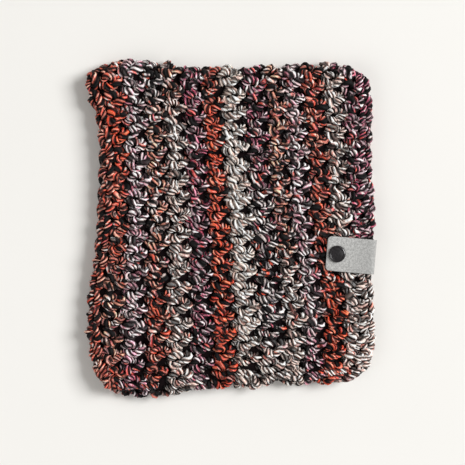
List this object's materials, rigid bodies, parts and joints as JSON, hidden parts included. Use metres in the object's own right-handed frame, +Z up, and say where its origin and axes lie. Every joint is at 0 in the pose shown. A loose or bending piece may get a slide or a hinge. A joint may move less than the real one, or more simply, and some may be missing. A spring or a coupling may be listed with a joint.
{
  "type": "crocheted infinity scarf laid flat",
  "caption": "Short tube scarf crocheted in thick marled yarn, laid flat on its side in two layers, with a faux leather tag folded over one opening and closed by a snap.",
  "frame": {"origin": "middle of the footprint, on the surface that the scarf lies on", "axes": "+X from the opening where the crochet starts to the one where it ends, +Y along the openings from fold to fold, +Z up"},
  "size_m": [0.2154, 0.2501, 0.0211],
  "materials": {
    "yarn": "marled yarn in rust, ivory, lilac and plum with a black ply, soft sheen",
    "tag": "grey heathered faux leather, matt",
    "snap": "black moulded resin, glossy"
  },
  "bodies": {
    "root": {"cowl_tube": "yarn", "tag": "tag", "snap_cap": "snap", "snap_back": "snap"}
  },
  "joints": []
}
